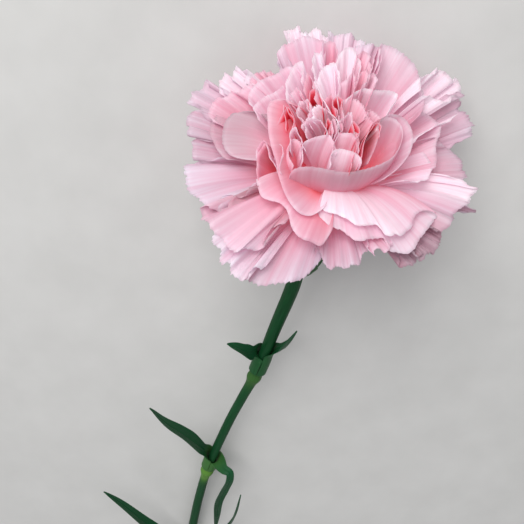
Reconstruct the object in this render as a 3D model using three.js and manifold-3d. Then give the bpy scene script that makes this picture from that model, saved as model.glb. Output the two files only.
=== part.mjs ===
// Cut carnation, double pink flower on a jointed stem, lying on a flat surface.
// Units are millimetres, +Z is up, the surface is z = 0 and the stem runs toward -X.
import * as THREE from 'three';
import { mergeVertices } from 'three/addons/utils/BufferGeometryUtils.js';
import Module from 'manifold-3d';

const wasm = await Module();
wasm.setup();

// ---- driving dimensions -------------------------------------------------------------
const MOUTH = new THREE.Vector3(0, 0, 24); // centre of the calyx mouth
const AXIS_RISE = 17.8;                      // flower axis above the surface, degrees
const AXIS_TURN = 6.05;                      // flower axis turned from +X, degrees
const GAP = 0.3;                             // clearance between neighbouring pieces

const PETAL_THICKNESS = 0.7;
const CLAW = 6;                // depth of each petal's narrow foot below the mouth
const CLAW_HALF_WIDTH = 1.6;
const SPINE_STEPS = 160;

const CALYX_LENGTH = 30;
const CALYX_WALL = 0.8;
const TEETH = 5;
const TOOTH_DEPTH = 5.5;

const STEM_SIDES = 12;
const STEM_STEPS = 64;
const STEM_TOP_RADIUS = 2.15;
const STEM_MID_RADIUS = 1.6;
const STEM_LOW_RADIUS = 1.8;
const LEAF_THICKNESS = 0.7;

// ---- flower frame: axis out of the calyx, a level side and the side facing down -------
const rad = THREE.MathUtils.degToRad;
const AXIS = new THREE.Vector3(
  Math.cos(rad(AXIS_RISE)) * Math.cos(rad(AXIS_TURN)),
  Math.cos(rad(AXIS_RISE)) * Math.sin(rad(AXIS_TURN)),
  Math.sin(rad(AXIS_RISE)));
const SIDE = new THREE.Vector3(Math.sin(rad(AXIS_TURN)), -Math.cos(rad(AXIS_TURN)), 0);
const DOWN = new THREE.Vector3().crossVectors(AXIS, SIDE);

// ---- petals -------------------------------------------------------------------------
// Each row: direction round the axis (0 level side, 90 down, 180 far side, 270 up),
// tilt of the tip from the axis, reach from the mouth, half angle of the fan,
// cupping of the margin, extra curl at the tip, twist, wave height, waves across, seed.
const RINGS = {
  guard: {
    startTilt: 28, bend: 2.8, bladeFrom: 0, footRadius: 3, across: 6, along: 4,
    petals: [
      [208, 86, 34, 27, 4, 6, 0, 0.7, 1.6, 0],
      [249, 95, 37, 28, -6, 6, 0, 0.5, 2.5, 3],
      [270, 78, 34.5, 19, -20, 6, 0, 0.8, 1.2, 4],
      [288, 68, 36, 19, -6, 20, 0, 1.6, 3, 5],
      [296, 62, 36, 22, -8, 18, 0, 1.6, 3, 6],
      [334, 77, 30.5, 22, -4, 0, 0, 1.8, 3.4, 7],
      [357, 87, 31.5, 26, 0, 0, 0, 2, 4, 8],
      [20, 79, 33.5, 26, 4, 0, 0, 2, 3, 9],
      [43, 58, 38.5, 20, 8, 0, 0, 1.4, 2.2, 11],
      [70, 58, 37, 24, 6, 0, 0, 1.8, 3, 12],
      [88, 63, 38, 24, 6, 0, 0, 2, 3, 13],
      [110, 65, 37, 16, 6, 0, 0, 2.2, 2.4, 15],
      [135, 89, 35.5, 18, 4, 0, 0, 2.2, 2.6, 17],
      [164, 79, 36.5, 20, 4, 0, 0, 2.2, 2.8, 18],
      [176, 82, 35.5, 20, 4, 0, 0, 1.6, 2.6, 19],
    ],
  },
  second: {
    startTilt: 22, bend: 2.4, bladeFrom: 0, footRadius: 3, across: 6, along: 4,
    petals: [
      [222, 94, 35, 24, 6, 0, 0, 2.2, 4, 21],
      [255, 85, 28.5, 28, -30, 0, -24, 1, 1.4, 23],
      [292, 66, 31, 34, -8, 14, 0, 0.8, 1.3, 25],
      [315, 64, 28, 26, -4, 0, 0, 1.6, 2.4, 26],
      [330, 50, 28, 26, 6, 0, 0, 2, 2.2, 27],
      [25, 69, 29, 26, 10, 0, 0, 2, 2, 28],
      [111, 69, 31.5, 22, 14, 0, 0, 2.4, 2.2, 30],
      [172, 67, 33.5, 22, 10, 0, 0, 2.4, 2.4, 31],
      [62, 57, 35.5, 32, 16, 0, 0, 0.8, 1.4, 34],
    ],
  },
  third: {
    startTilt: 12, bend: 1.6, bladeFrom: 0.15, footRadius: 3, across: 5, along: 3,
    petals: [
      [194, 73, 31, 32, 26, 14, 0, 0.4, 1, 36],
      [178, 44, 31, 20, 20, 0, 0, 2.2, 1.8, 37],
      [124, 39, 29, 18, 20, 0, 20, 2.6, 1.8, 40],
      [81, 45, 29, 20, 20, 0, 0, 2.4, 1.8, 42],
      [354, 16, 25, 32, 34, 0, 0, 1, 1.2, 43],
      [215, 64, 27, 24, 30, 0, 10, 1.2, 1.3, 46],
      [261, 42, 21.5, 58, 60, -16, 0, 0.6, 1.1, 49],
    ],
  },
  inner: {
    startTilt: 6, bend: 1.4, bladeFrom: 0.3, footRadius: 2.5, across: 4, along: 3,
    petals: [
      [153, 36, 29, 18, 24, 0, -50, 2.6, 1.4, 52],
      [70, 16, 26, 20, 20, 0, 0, 2.4, 1.4, 56],
      [85, 14, 21.5, 18, 30, 0, -40, 2.4, 1.3, 62],
    ],
  },
  heart: {
    startTilt: 5, bend: 1.3, bladeFrom: 0.25, footRadius: 1.8, across: 4, along: 3,
    petals: [
      [324, 12, 20, 20, 30, 0, -30, 1.4, 1.2, 69],
    ],
  },
};
const MARGIN_DROP = 0.28; // how far the margin falls away at the sides of a fan

// Repeatable pseudo-random number between 0 and 1.
function chance(seed, channel) {
  const value = Math.sin(seed * 12.9898 + channel * 78.233) * 43758.5453;
  return value - Math.floor(value);
}

function smooth(x) {
  const t = THREE.MathUtils.clamp(x, 0, 1);
  return t * t * (3 - 2 * t);
}

// Midline of a petal in the plane of the axis: distance along it, out from it, and tilt.
function petalSpine(ring, tilt, reach, curl) {
  const step = (reach * 1.12 + CLAW) / (SPINE_STEPS - 1);
  const spine = [];
  let along = 0;
  let out = 0;
  for (let i = 0; i < SPINE_STEPS; i += 1) {
    const y = i * step;
    const v = THREE.MathUtils.clamp((y - CLAW) / reach, 0, 1.15);
    const bent = 1 - (1 - Math.min(v, 1)) ** ring.bend;
    const curled = curl * THREE.MathUtils.clamp((v - 0.55) / 0.45, 0, 1.3) ** 2;
    let angle = rad(ring.startTilt + (tilt - ring.startTilt) * bent + curled);
    if (y < CLAW) angle = rad(ring.startTilt) * y / CLAW;
    if (i > 0) {
      along += Math.cos(angle) * step;
      out += Math.sin(angle) * step;
    }
    spine.push({ along, out, angle });
  }
  return { spine, step };
}

// Point of a petal: u runs across the fan from -1 to 1, v from foot to margin.
function petalSurface(ring, row) {
  const [direction, tilt, reach, fan, cup, curl, twist, wave, waves, seed] = row;
  const { spine, step } = petalSpine(ring, tilt, reach, curl);
  const outward = SIDE.clone().multiplyScalar(Math.cos(rad(direction)))
    .addScaledVector(DOWN, Math.sin(rad(direction)));
  const across = new THREE.Vector3().crossVectors(AXIS, outward);
  const phase = chance(seed, 1) * 2 * Math.PI;
  const lobeA = chance(seed, 30) * 6.28;
  const lobeB = chance(seed, 31) * 6.28;
  const sway = chance(seed, 40) * 6.28;
  const wrap = rad(cup) / (reach * Math.sin(rad(fan))) || 1e-5;

  return (u, v) => {
    const lobes = 0.05 * Math.sin(u * 3.1 + lobeA) + 0.03 * Math.sin(u * 7 + lobeB);
    const margin = reach * (1 - MARGIN_DROP * Math.abs(u) ** 3 + lobes - 0.017);
    const rho = v * (margin + CLAW);
    const phi = u * rad(fan);
    const blade = smooth((rho - CLAW * 0.7 - ring.bladeFrom * reach) / (reach * 0.22));
    const foot = CLAW_HALF_WIDTH * THREE.MathUtils.clamp(rho / CLAW + 0.4, 0, 1);
    const x = rho * Math.sin(phi) * blade + u * foot * (1 - blade);
    const y = rho * Math.cos(phi);
    const r = THREE.MathUtils.clamp((rho - CLAW) / reach, 0, 1.15);

    const ruffle = u + 0.1 * Math.sin(2.6 * u + phase * 2 + 1.5 * r)
      + 0.12 * (r - 0.6) * Math.cos(phase * 3);
    const lift = (1 - Math.cos(wrap * x)) / wrap
      + wave * r ** 1.5 * Math.sin(waves * ruffle * Math.PI + phase)
      + wave * 0.5 * r ** 2 * Math.sin(2.2 * waves * ruffle * Math.PI + phase * 1.7 + 1.5 * r)
      + 0.8 * r * Math.sin(1.3 * u + 4.4 * r + sway);
    const slide = Math.sin(wrap * x) / wrap
      + 0.35 * wave * r ** 2 * Math.cos(waves * u * Math.PI + phase);

    const place = THREE.MathUtils.clamp(y / step, 0, SPINE_STEPS - 1.001);
    const i = Math.floor(place);
    const f = place - i;
    const a = spine[i];
    const b = spine[i + 1];
    const angle = a.angle + (b.angle - a.angle) * f;
    const turn = rad(twist) * THREE.MathUtils.clamp((y - CLAW) / reach, 0, 1.15);
    const normal = AXIS.clone().multiplyScalar(Math.sin(angle))
      .addScaledVector(outward, -Math.cos(angle));

    return MOUTH.clone()
      .addScaledVector(AXIS, a.along + (b.along - a.along) * f - CLAW)
      .addScaledVector(outward, a.out + (b.out - a.out) * f + ring.footRadius)
      .addScaledVector(across, slide * Math.cos(turn) - lift * Math.sin(turn))
      .addScaledVector(normal, slide * Math.sin(turn) + lift * Math.cos(turn));
  };
}

// ---- solids -------------------------------------------------------------------------
// Closes a sheet into a thin solid whose two faces are split along the same diagonals.
function thickSheet(surface, columns, rows, thickness) {
  const middle = (i, j) => surface(-1 + (2 * i) / columns, j / rows);
  const clampTo = (n, limit) => Math.min(Math.max(n, 0), limit);
  const upper = [];
  const lower = [];
  for (let i = 0; i <= columns; i += 1) {
    for (let j = 0; j <= rows; j += 1) {
      const du = middle(clampTo(i + 1, columns), j).sub(middle(clampTo(i - 1, columns), j));
      const dv = middle(i, clampTo(j + 1, rows)).sub(middle(i, clampTo(j - 1, rows)));
      const normal = du.cross(dv).normalize().multiplyScalar(thickness / 2);
      const point = middle(i, j);
      upper.push(point.clone().add(normal));
      lower.push(point.clone().sub(normal));
    }
  }
  const positions = [...upper, ...lower].flatMap((p) => p.toArray());

  const at = (i, j) => i * (rows + 1) + j;
  const below = (k) => k + upper.length;
  const index = [];
  const quad = (a, b, c, d) => index.push(a, b, c, a, c, d);
  for (let i = 0; i < columns; i += 1) {
    for (let j = 0; j < rows; j += 1) {
      const [a, b, c, d] = [at(i, j), at(i + 1, j), at(i + 1, j + 1), at(i, j + 1)];
      index.push(a, b, c, a, c, d);
      index.push(below(a), below(c), below(b), below(a), below(d), below(c));
    }
  }
  for (let j = 0; j < rows; j += 1) {
    quad(at(0, j), at(0, j + 1), below(at(0, j + 1)), below(at(0, j)));
    quad(at(columns, j + 1), at(columns, j), below(at(columns, j)),
      below(at(columns, j + 1)));
  }
  for (let i = 0; i < columns; i += 1) {
    quad(at(i + 1, 0), at(i, 0), below(at(i, 0)), below(at(i + 1, 0)));
    quad(at(i, rows), at(i + 1, rows), below(at(i + 1, rows)), below(at(i, rows)));
  }
  const geometry = new THREE.BufferGeometry();
  geometry.setAttribute('position', new THREE.Float32BufferAttribute(positions, 3));
  geometry.setIndex(index);
  return geometry;
}

function toSolid(geometry) {
  const bare = geometry.clone();
  bare.deleteAttribute('normal');
  bare.deleteAttribute('uv');
  const merged = mergeVertices(bare, 1e-4);
  return new wasm.Manifold(new wasm.Mesh({
    numProp: 3,
    vertProperties: Float32Array.from(merged.attributes.position.array),
    triVerts: Uint32Array.from(merged.index.array),
  }));
}

function toGeometry(solid) {
  const mesh = solid.getMesh();
  const geometry = new THREE.BufferGeometry();
  geometry.setAttribute('position', new THREE.BufferAttribute(mesh.vertProperties, 3));
  geometry.setIndex(new THREE.BufferAttribute(mesh.triVerts, 1));
  return geometry;
}

// Keeps the one real body of a union and drops any closed pocket inside it.
function mainBody(solid) {
  return solid.decompose().sort((a, b) => b.volume() - a.volume())[0];
}

// Turned solid on the flower axis; the profile is [radius, height over the mouth].
function turned(profile, sides) {
  const geometry = new THREE.LatheGeometry(
    profile.map(([radius, height]) => new THREE.Vector2(radius, height)), sides);
  const toAxis = new THREE.Quaternion().setFromUnitVectors(
    new THREE.Vector3(0, 1, 0), AXIS);
  return geometry.applyQuaternion(toAxis).translate(MOUTH.x, MOUTH.y, MOUTH.z);
}

// Outside of the calyx as [radius, height over the mouth].
const CALYX_OUTSIDE = [
  [2.3, -CALYX_LENGTH], [4, -28.5], [5.2, -25], [6, -18], [6.6, -10], [7, -4], [7.4, 1],
];

// ---- bloom --------------------------------------------------------------------------
function makeBloom() {
  const parts = [];
  for (const ring of Object.values(RINGS)) {
    for (const row of ring.petals) {
      const sheet = thickSheet(petalSurface(ring, row), ring.across, ring.along,
        PETAL_THICKNESS);
      parts.push(toSolid(sheet));
    }
  }
  const heart = [
    [0, -25], [2.6, -25], [4.6, -16], [5.6, -6], [6, -1], [9, 3], [12.5, 7], [13, 11],
    [9, 14], [0, 15],
  ];
  parts.push(toSolid(turned(heart, 14)));
  const rim = CALYX_OUTSIDE.slice(2);
  const clearance = toSolid(turned([
    ...rim.map(([radius, height]) => [radius + GAP + 0.1, height]),
    [rim.at(-1)[0] + GAP, 1.4],
    [rim.at(-1)[0] - CALYX_WALL - GAP, 1.4],
    ...rim.toReversed().map(([radius, height]) => [radius - CALYX_WALL - GAP, height]),
    [rim[0][0] + GAP + 0.1, rim[0][1]],
  ], 20));
  // The lowest margins are levelled where the flower's weight rests on them.
  return mainBody(wasm.Manifold.union(parts).subtract(clearance).trimByPlane([0, 0, 1], 0));
}

// ---- calyx --------------------------------------------------------------------------
function calyxRadius(height) {
  for (let i = 1; i < CALYX_OUTSIDE.length; i += 1) {
    const [r0, h0] = CALYX_OUTSIDE[i - 1];
    const [r1, h1] = CALYX_OUTSIDE[i];
    if (height <= h1) return r0 + ((r1 - r0) * Math.max(height - h0, 0)) / (h1 - h0);
  }
  return CALYX_OUTSIDE.at(-1)[0];
}

function makeCalyx() {
  const inside = CALYX_OUTSIDE.slice(2).reverse()
    .map(([radius, height]) => [radius - CALYX_WALL, height]);
  const cup = [[0, -CALYX_LENGTH], ...CALYX_OUTSIDE, ...inside, [0, -25.8]];
  let solid = toSolid(turned(cup, 16));

  const notch = new THREE.Shape([
    new THREE.Vector2(-4.3, 1.2), new THREE.Vector2(0, 1 - TOOTH_DEPTH),
    new THREE.Vector2(4.3, 1.2),
  ]);
  for (let k = 0; k < TEETH; k += 1) {
    const cutter = new THREE.ExtrudeGeometry(notch, { depth: 12, bevelEnabled: false });
    cutter.rotateY((2 * Math.PI * k) / TEETH);
    cutter.applyQuaternion(new THREE.Quaternion().setFromUnitVectors(
      new THREE.Vector3(0, 1, 0), AXIS));
    cutter.translate(MOUTH.x, MOUTH.y, MOUTH.z);
    solid = solid.subtract(toSolid(cutter));
  }

  // Two pairs of short pointed bracts clasp the foot of the calyx.
  for (let k = 0; k < 4; k += 1) {
    const centre = rad(20 + 90 * k);
    const length = k % 2 ? 8 : 7;
    const scale = (u, v) => {
      const height = -CALYX_LENGTH + 0.6 + length * v;
      const radius = calyxRadius(height) + 0.2 + 0.3 * v;
      const turn = centre + u * 0.75 * (1 - v ** 2.2 * 0.92);
      return MOUTH.clone().addScaledVector(AXIS, height)
        .addScaledVector(SIDE, radius * Math.cos(turn))
        .addScaledVector(DOWN, radius * Math.sin(turn));
    };
    solid = solid.add(toSolid(thickSheet(scale, 4, 4, 0.7)));
  }
  return mainBody(solid);
}

// ---- stem ---------------------------------------------------------------------------
const CALYX_FOOT = MOUTH.clone().addScaledVector(AXIS, -CALYX_LENGTH - GAP - 0.1);
const STEM_PATH = new THREE.CatmullRomCurve3([
  CALYX_FOOT,
  new THREE.Vector3(-35.7, -4.1, 13.2),
  new THREE.Vector3(-51.6, -4.2, 12),
  new THREE.Vector3(-74.3, -4.3, 10.2),
  new THREE.Vector3(-86.6, -3.3, 9.3),
  new THREE.Vector3(-100, -2.3, 8.4),
  new THREE.Vector3(-128.3, -1.7, 6.6),
  new THREE.Vector3(-145.7, -2.7, 5.5),
  new THREE.Vector3(-164.1, -4.6, 4.4),
  new THREE.Vector3(-187.6, -7.4, 3.2),
  new THREE.Vector3(-212, -9.6, 2.35),
  new THREE.Vector3(-236, -11.4, 1.85),
], false, 'centripetal');
const JOINTS = [
  { at: new THREE.Vector3(-75.3, -4.3, 10.1), swell: 0.75 },
  { at: new THREE.Vector3(-129.3, -1.7, 6.5), swell: 0.85 },
  { at: new THREE.Vector3(-188.6, -7.4, 3.2), swell: 0.8 },
];
const JOINT_SPREAD = 2.2;

function stemRadius(point) {
  const travel = (CALYX_FOOT.x - point.x) / 210;
  const upper = STEM_TOP_RADIUS + (STEM_MID_RADIUS - STEM_TOP_RADIUS) * smooth(travel / 0.3);
  let radius = upper + (STEM_LOW_RADIUS - STEM_MID_RADIUS) * smooth((travel - 0.35) / 0.5);
  for (const { at, swell } of JOINTS) {
    radius += swell * Math.exp(-(((point.x - at.x) / JOINT_SPREAD) ** 2));
  }
  return radius;
}

function makeStem() {
  const round = new THREE.Shape();
  round.absarc(0, 0, 1, 0, 2 * Math.PI);
  const geometry = new THREE.ExtrudeGeometry(round, {
    steps: STEM_STEPS, curveSegments: STEM_SIDES / 2, extrudePath: STEM_PATH, bevelEnabled: false,
  });
  const centres = STEM_PATH.getSpacedPoints(STEM_STEPS);
  const position = geometry.attributes.position;
  const point = new THREE.Vector3();
  for (let i = 0; i < position.count; i += 1) {
    point.fromBufferAttribute(position, i);
    const centre = centres.reduce((best, c) => (
      c.distanceToSquared(point) < best.distanceToSquared(point) ? c : best));
    point.sub(centre).multiplyScalar(stemRadius(centre)).add(centre);
    position.setXYZ(i, point.x, point.y, point.z);
  }
  const slant = new THREE.Vector3(0.82, 0.1, 0.56).normalize();
  const end = STEM_PATH.getPoint(1).add(new THREE.Vector3(2.6, 0, 0));
  return mainBody(toSolid(geometry).trimByPlane(slant.toArray(), slant.dot(end)));
}

// ---- leaves -------------------------------------------------------------------------
// Each leaf clasps half of the stem with a short sheath above its joint, then runs
// through the listed points. Turn is the side of the stem it stands on, 0 toward +Y.
const LEAVES = {
  leaf_upper_left: {
    joint: 0, turn: -4, sheath: 8, width: 1.9, twist: -30, channel: 5,
    through: [[-61.6, 2.2, 15.8], [-59.3, 5.9, 17.4], [-58.2, 9.2, 18]],
  },
  leaf_upper_right: {
    joint: 0, turn: 171, sheath: 10, width: 2.1, twist: 50, channel: 4,
    through: [[-57.2, -8.4, 14.6], [-52.6, -8.9, 16.4], [-47.6, -9, 18]],
  },
  leaf_middle_left: {
    joint: 1, turn: -4, sheath: 6, width: 2.9, twist: -25, channel: 6,
    through: [[-110.6, 6.6, 12], [-103.3, 13.2, 15], [-97.6, 19.9, 17], [-91.3, 26, 18]],
  },
  leaf_middle_right: {
    joint: 1, turn: 170, sheath: 5, width: 2.3, twist: 0, channel: 5,
    through: [[-119.6, -7, 12.4], [-118, -9.3, 14], [-121.5, -10.6, 14.6],
      [-131.1, -11.4, 12.4], [-142.2, -11.4, 9.7], [-154.8, -12.2, 7], [-168, -14.8, 4]],
  },
  leaf_lower_left: {
    joint: 2, turn: -4, sheath: 6, width: 2.8, twist: -20, channel: 6,
    through: [[-175, 0.6, 8], [-163.3, 13.2, 11], [-149.8, 26.3, 13], [-143.2, 33.6, 14]],
  },
  leaf_lower_right: {
    joint: 2, turn: 171, sheath: 6, width: 2.6, twist: 15, channel: 6,
    through: [[-174, -12.4, 7.5], [-159.9, -15.6, 11.5], [-141.7, -16.4, 14.5],
      [-127.5, -14.6, 16]],
  },
};

function leafSurface({ joint, turn, sheath, width, twist, channel, through }) {
  const foot = JOINTS[joint].at.x + 3;
  const samples = STEM_PATH.getSpacedPoints(600);
  const near = (x) => samples.reduce((best, p) => (
    Math.abs(p.x - x) < Math.abs(best.x - x) ? p : best));
  const forward = near(foot + sheath).clone().sub(near(foot)).normalize();
  const level = new THREE.Vector3(0, 0, 1).cross(forward).normalize();
  const rise = forward.clone().cross(level);
  const away = level.clone().multiplyScalar(Math.cos(rad(turn)))
    .addScaledVector(rise, Math.sin(rad(turn)));
  const clasp = stemRadius(near(foot)) + GAP + LEAF_THICKNESS / 2 + 0.15;
  const onStem = (s) => near(foot + s).clone().addScaledVector(away, clasp);
  const line = new THREE.CatmullRomCurve3([
    onStem(0), onStem(sheath * 0.5), onStem(sheath),
    ...through.map((p) => new THREE.Vector3(...p)),
  ], false, 'centripetal');
  const length = line.getLength();
  const sheathed = sheath / length;

  const count = 120;
  const frames = [];
  let across = forward.clone().cross(away);
  for (let i = 0; i <= count; i += 1) {
    const tangent = line.getTangentAt(i / count);
    across = across.clone().addScaledVector(tangent, -across.dot(tangent)).normalize();
    frames.push({ centre: line.getPointAt(i / count), tangent, across });
  }
  return (u, v) => {
    const frame = frames[Math.round(v * count)];
    const t = THREE.MathUtils.clamp((v - sheathed) / (1 - sheathed), 0, 1);
    const spread = smooth((v - sheathed * 0.8) / (0.18 + sheathed * 0.4));
    const blade = width * (0.72 + 0.28 * smooth(t / 0.35)) * (1 - t ** 2.6) + 0.25;
    const half = THREE.MathUtils.lerp(clasp * rad(78), blade, spread);
    const bow = THREE.MathUtils.lerp(clasp, channel, spread);
    const turned = rad(twist) * smooth(t * 1.4);
    const normal = frame.across.clone().cross(frame.tangent);
    const sideways = frame.across.clone().multiplyScalar(Math.cos(turned))
      .addScaledVector(normal, Math.sin(turned));
    const inward = normal.clone().multiplyScalar(-Math.cos(turned))
      .addScaledVector(frame.across, Math.sin(turned));
    return frame.centre.clone()
      .addScaledVector(sideways, bow * Math.sin((u * half) / bow))
      .addScaledVector(inward, bow * (1 - Math.cos((u * half) / bow)));
  };
}

function makeLeaf(leaf) {
  return mainBody(toSolid(thickSheet(leafSurface(leaf), 6, 14, LEAF_THICKNESS)));
}

// ---- assembly -----------------------------------------------------------------------
const PETAL_PINK = { color: 0xf2bccb, roughness: 0.6, metalness: 0 };
const CALYX_GREEN = { color: 0x3f6b3f, roughness: 0.55, metalness: 0 };
const STEM_GREEN = { color: 0x2f6b45, roughness: 0.5, metalness: 0 };
const LEAF_GREEN = { color: 0x2c6a40, roughness: 0.5, metalness: 0 };

const flower = new THREE.Group();
flower.name = 'cut_carnation';

function addPiece(name, solid, look) {
  const mesh = new THREE.Mesh(toGeometry(solid), new THREE.MeshStandardMaterial(look));
  mesh.name = name;
  flower.add(mesh);
}

addPiece('bloom', makeBloom(), PETAL_PINK);
addPiece('calyx', makeCalyx(), CALYX_GREEN);
addPiece('stem', makeStem(), STEM_GREEN);
for (const [name, leaf] of Object.entries(LEAVES)) addPiece(name, makeLeaf(leaf), LEAF_GREEN);

// The origin is the middle of the box on the surface.
const box = new THREE.Box3().setFromObject(flower);
const centre = box.getCenter(new THREE.Vector3());
for (const mesh of flower.children) mesh.geometry.translate(-centre.x, -centre.y, -box.min.z);

export default flower;
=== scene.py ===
"""Cut carnation lying on a pale surface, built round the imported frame.

Lengths are millimetres until a mesh is made; Blender gets metres.
"""
import math

import bpy
import numpy as np
from mathutils import Matrix, Vector


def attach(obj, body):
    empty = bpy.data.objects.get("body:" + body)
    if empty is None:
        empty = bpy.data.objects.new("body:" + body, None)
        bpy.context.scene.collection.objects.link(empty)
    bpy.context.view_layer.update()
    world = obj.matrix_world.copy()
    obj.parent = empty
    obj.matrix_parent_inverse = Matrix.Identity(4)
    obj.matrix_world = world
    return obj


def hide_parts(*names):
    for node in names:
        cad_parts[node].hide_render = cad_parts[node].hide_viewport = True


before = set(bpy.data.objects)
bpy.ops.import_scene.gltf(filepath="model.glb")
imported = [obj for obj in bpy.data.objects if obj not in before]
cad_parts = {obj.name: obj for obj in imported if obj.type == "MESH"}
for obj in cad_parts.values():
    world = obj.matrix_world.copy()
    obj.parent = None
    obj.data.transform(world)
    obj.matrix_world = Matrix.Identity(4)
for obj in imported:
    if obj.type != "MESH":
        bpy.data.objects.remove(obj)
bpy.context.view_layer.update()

MM = 0.001
FULL_TURN = 2 * math.pi


def smooth(x):
    """Eases from 0 to 1 as x does."""
    t = np.clip(x, 0.0, 1.0)
    return t * t * (3 - 2 * t)


def mix(a, b, t):
    return a + (b - a) * t


def unit(v):
    """Vectors scaled to length 1."""
    v = np.asarray(v, float)
    return v / (np.linalg.norm(v, axis=-1, keepdims=True) + 1e-12)


def chance(seed, channel):
    """Repeatable random number from 0 to 1."""
    value = math.sin(seed * 12.9898 + channel * 78.233) * 43758.5453
    return value - math.floor(value)


# ---- flower frame, as in the solids ----
SHIFT = np.array([100.7696, -2.0051, 0.0])     # from the solids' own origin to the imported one
MOUTH = np.array([0.0, 0.0, 24.0]) + SHIFT     # centre of the calyx mouth
AXIS_RISE = math.radians(17.8)
AXIS_TURN = math.radians(6.05)
AXIS = np.array([math.cos(AXIS_RISE) * math.cos(AXIS_TURN),
                 math.cos(AXIS_RISE) * math.sin(AXIS_TURN), math.sin(AXIS_RISE)])
SIDE = np.array([math.sin(AXIS_TURN), -math.cos(AXIS_TURN), 0.0])
DOWN = np.cross(AXIS, SIDE)


def on_axis(radius, turn, height):
    """Points at that radius and angle round the flower axis, that high over the mouth."""
    radius, turn, height = np.broadcast_arrays(radius, turn, height)
    return (MOUTH + height[..., None] * AXIS + (radius * np.cos(turn))[..., None] * SIDE
            + (radius * np.sin(turn))[..., None] * DOWN)


def round_axis(points):
    """The radius, angle and height that on_axis would need for these points."""
    points = points - MOUTH
    side, down = points @ SIDE, points @ DOWN
    return np.hypot(side, down), np.arctan2(down, side), points @ AXIS


# ---- camera and light ----
IMAGE = 524         # pixels a side
FOCAL = 588         # pixels
CAMERA_AT = np.array([53.34, 32.47, 153.637]) + SHIFT
CAMERA_AXES = np.array([     # columns: image right, image up, backward
    [0.29237, 0.81099, 0.50676],
    [-0.9563, 0.24795, 0.15493],
    [0.0, -0.52992, 0.84805]])
KEY_POWER = 4.85
SKY_STRENGTH = 0.56


def seen_at(column, row, height):
    """Points seen at those pixels, that high over the mouth."""
    ray = [(column - IMAGE / 2) / FOCAL, (IMAGE / 2 - row) / FOCAL, -np.ones_like(row)]
    ray = (CAMERA_AXES @ ray).T
    return CAMERA_AT + ray * (((MOUTH - CAMERA_AT) @ AXIS + height) / (ray @ AXIS))[:, None]


def add_object(name, data):
    obj = bpy.data.objects.new(name, data)
    bpy.context.scene.collection.objects.link(obj)
    return obj


def make_camera():
    data = bpy.data.cameras.new("camera")
    data.sensor_width = 36
    data.lens = data.sensor_width * FOCAL / IMAGE
    data.clip_start = 0.001
    camera = add_object("camera", data)
    camera.matrix_world = Matrix.Translation(CAMERA_AT * MM) @ Matrix(CAMERA_AXES).to_4x4()
    bpy.context.scene.camera = camera


def make_light():
    right, up, back = (Vector(c) for c in CAMERA_AXES.T)
    towards = (back + 0.3 * up - 0.3 * right).normalized()
    data = bpy.data.lights.new("key", "AREA")
    data.size = 0.5
    data.energy = KEY_POWER
    data.color = (1, 0.99, 0.97)
    key = add_object("key", data)
    key.location = Vector(MOUTH * MM) + towards * 0.7
    key.rotation_euler = (-towards).to_track_quat("-Z", "Y").to_euler()
    world = bpy.data.worlds.new("studio")
    world.use_nodes = True
    sky = world.node_tree.nodes["Background"]
    sky.inputs["Color"].default_value = (0.98, 0.98, 1, 1)
    sky.inputs["Strength"].default_value = SKY_STRENGTH
    bpy.context.scene.world = world
    bpy.context.scene.view_settings.view_transform = "Standard"


# ---- meshes ----
def add_mesh(name, verts, faces, fields, material):
    """A smooth-shaded object at the origin; fields are numbers kept on its vertices."""
    mesh = bpy.data.meshes.new(name)
    mesh.from_pydata((np.asarray(verts) * MM).tolist(), [], faces)
    mesh.update()
    mesh.polygons.foreach_set("use_smooth", [True] * len(mesh.polygons))
    for key, values in fields.items():
        kind, slot = ("FLOAT_VECTOR", "vector") if values.shape[1] == 3 else ("FLOAT", "value")
        field = mesh.attributes.new(key, kind, "POINT")
        field.data.foreach_set(slot, values.astype(np.float32).ravel())
    mesh.materials.append(material)
    return add_object(name, mesh)


def sheet_normal(grid):
    return unit(np.cross(np.gradient(grid, axis=0), np.gradient(grid, axis=1)))


def sheet_faces(columns, rows):
    """Faces of two grids of verts, one under the other, closed along their edges."""
    top = np.arange(columns * rows).reshape(columns, rows)
    low = top + top.size
    faces = [np.stack([top[:-1, :-1], top[1:, :-1], top[1:, 1:], top[:-1, 1:]], -1).reshape(-1, 4),
             np.stack([low[:-1, :-1], low[:-1, 1:], low[1:, 1:], low[1:, :-1]], -1).reshape(-1, 4)]
    for a, b in ((top[0], low[0]), (low[-1], top[-1]), (low[:, 0], top[:, 0]), (top[:, -1], low[:, -1])):
        faces.append(np.stack([a[:-1], a[1:], b[1:], b[:-1]], -1))
    return np.concatenate(faces).tolist()


def tube_faces(rings, sides):
    """Faces of a tube of rings, whose last two verts close its last and its first ring."""
    ring = np.arange(rings * sides).reshape(rings, sides)
    ahead = np.roll(ring, -1, axis=1)
    faces = np.stack([ring[:-1], ahead[:-1], ahead[1:], ring[1:]], -1).reshape(-1, 4).tolist()
    for edge, other, middle in ((ring[-1], ahead[-1], ring.size), (ahead[0], ring[0], ring.size + 1)):
        faces += [[a, b, middle] for a, b in zip(edge.tolist(), other.tolist())]
    return faces


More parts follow.
